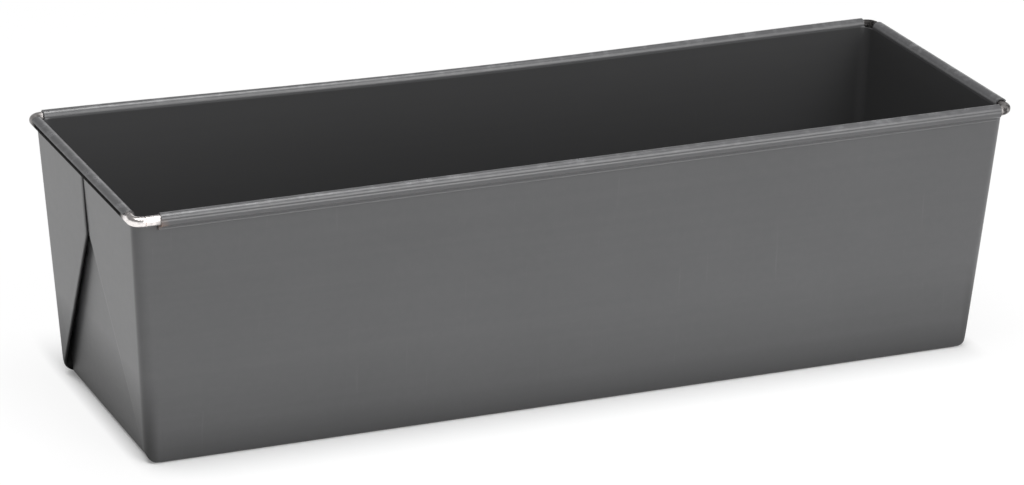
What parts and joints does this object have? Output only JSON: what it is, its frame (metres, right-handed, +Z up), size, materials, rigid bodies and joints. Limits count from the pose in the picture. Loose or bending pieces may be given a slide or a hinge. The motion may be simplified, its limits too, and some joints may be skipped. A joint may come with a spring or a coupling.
{
  "type": "loaf tin",
  "caption": "Long open loaf tin folded from dark coated sheet steel, with tapered walls, folded corner flaps and a rim rolled round a steel wire.",
  "frame": {"origin": "middle of the floor's underside, on the surface that the tin stands on", "axes": "+X along the tin, +Y across it, +Z up out of its mouth. The wire's ends meet at the corner on the -X, -Y side."},
  "size_m": [0.3, 0.11, 0.0855],
  "materials": {
    "coated_sheet": "satin dark grey non-stick coating on sheet steel",
    "bare_wire": "drawn steel wire without coating, worn bright and faintly browned at one corner and dulled grey at the others"
  },
  "bodies": {
    "root": {"pan_sheet": "coated_sheet", "rim_wire": "bare_wire"}
  },
  "joints": []
}
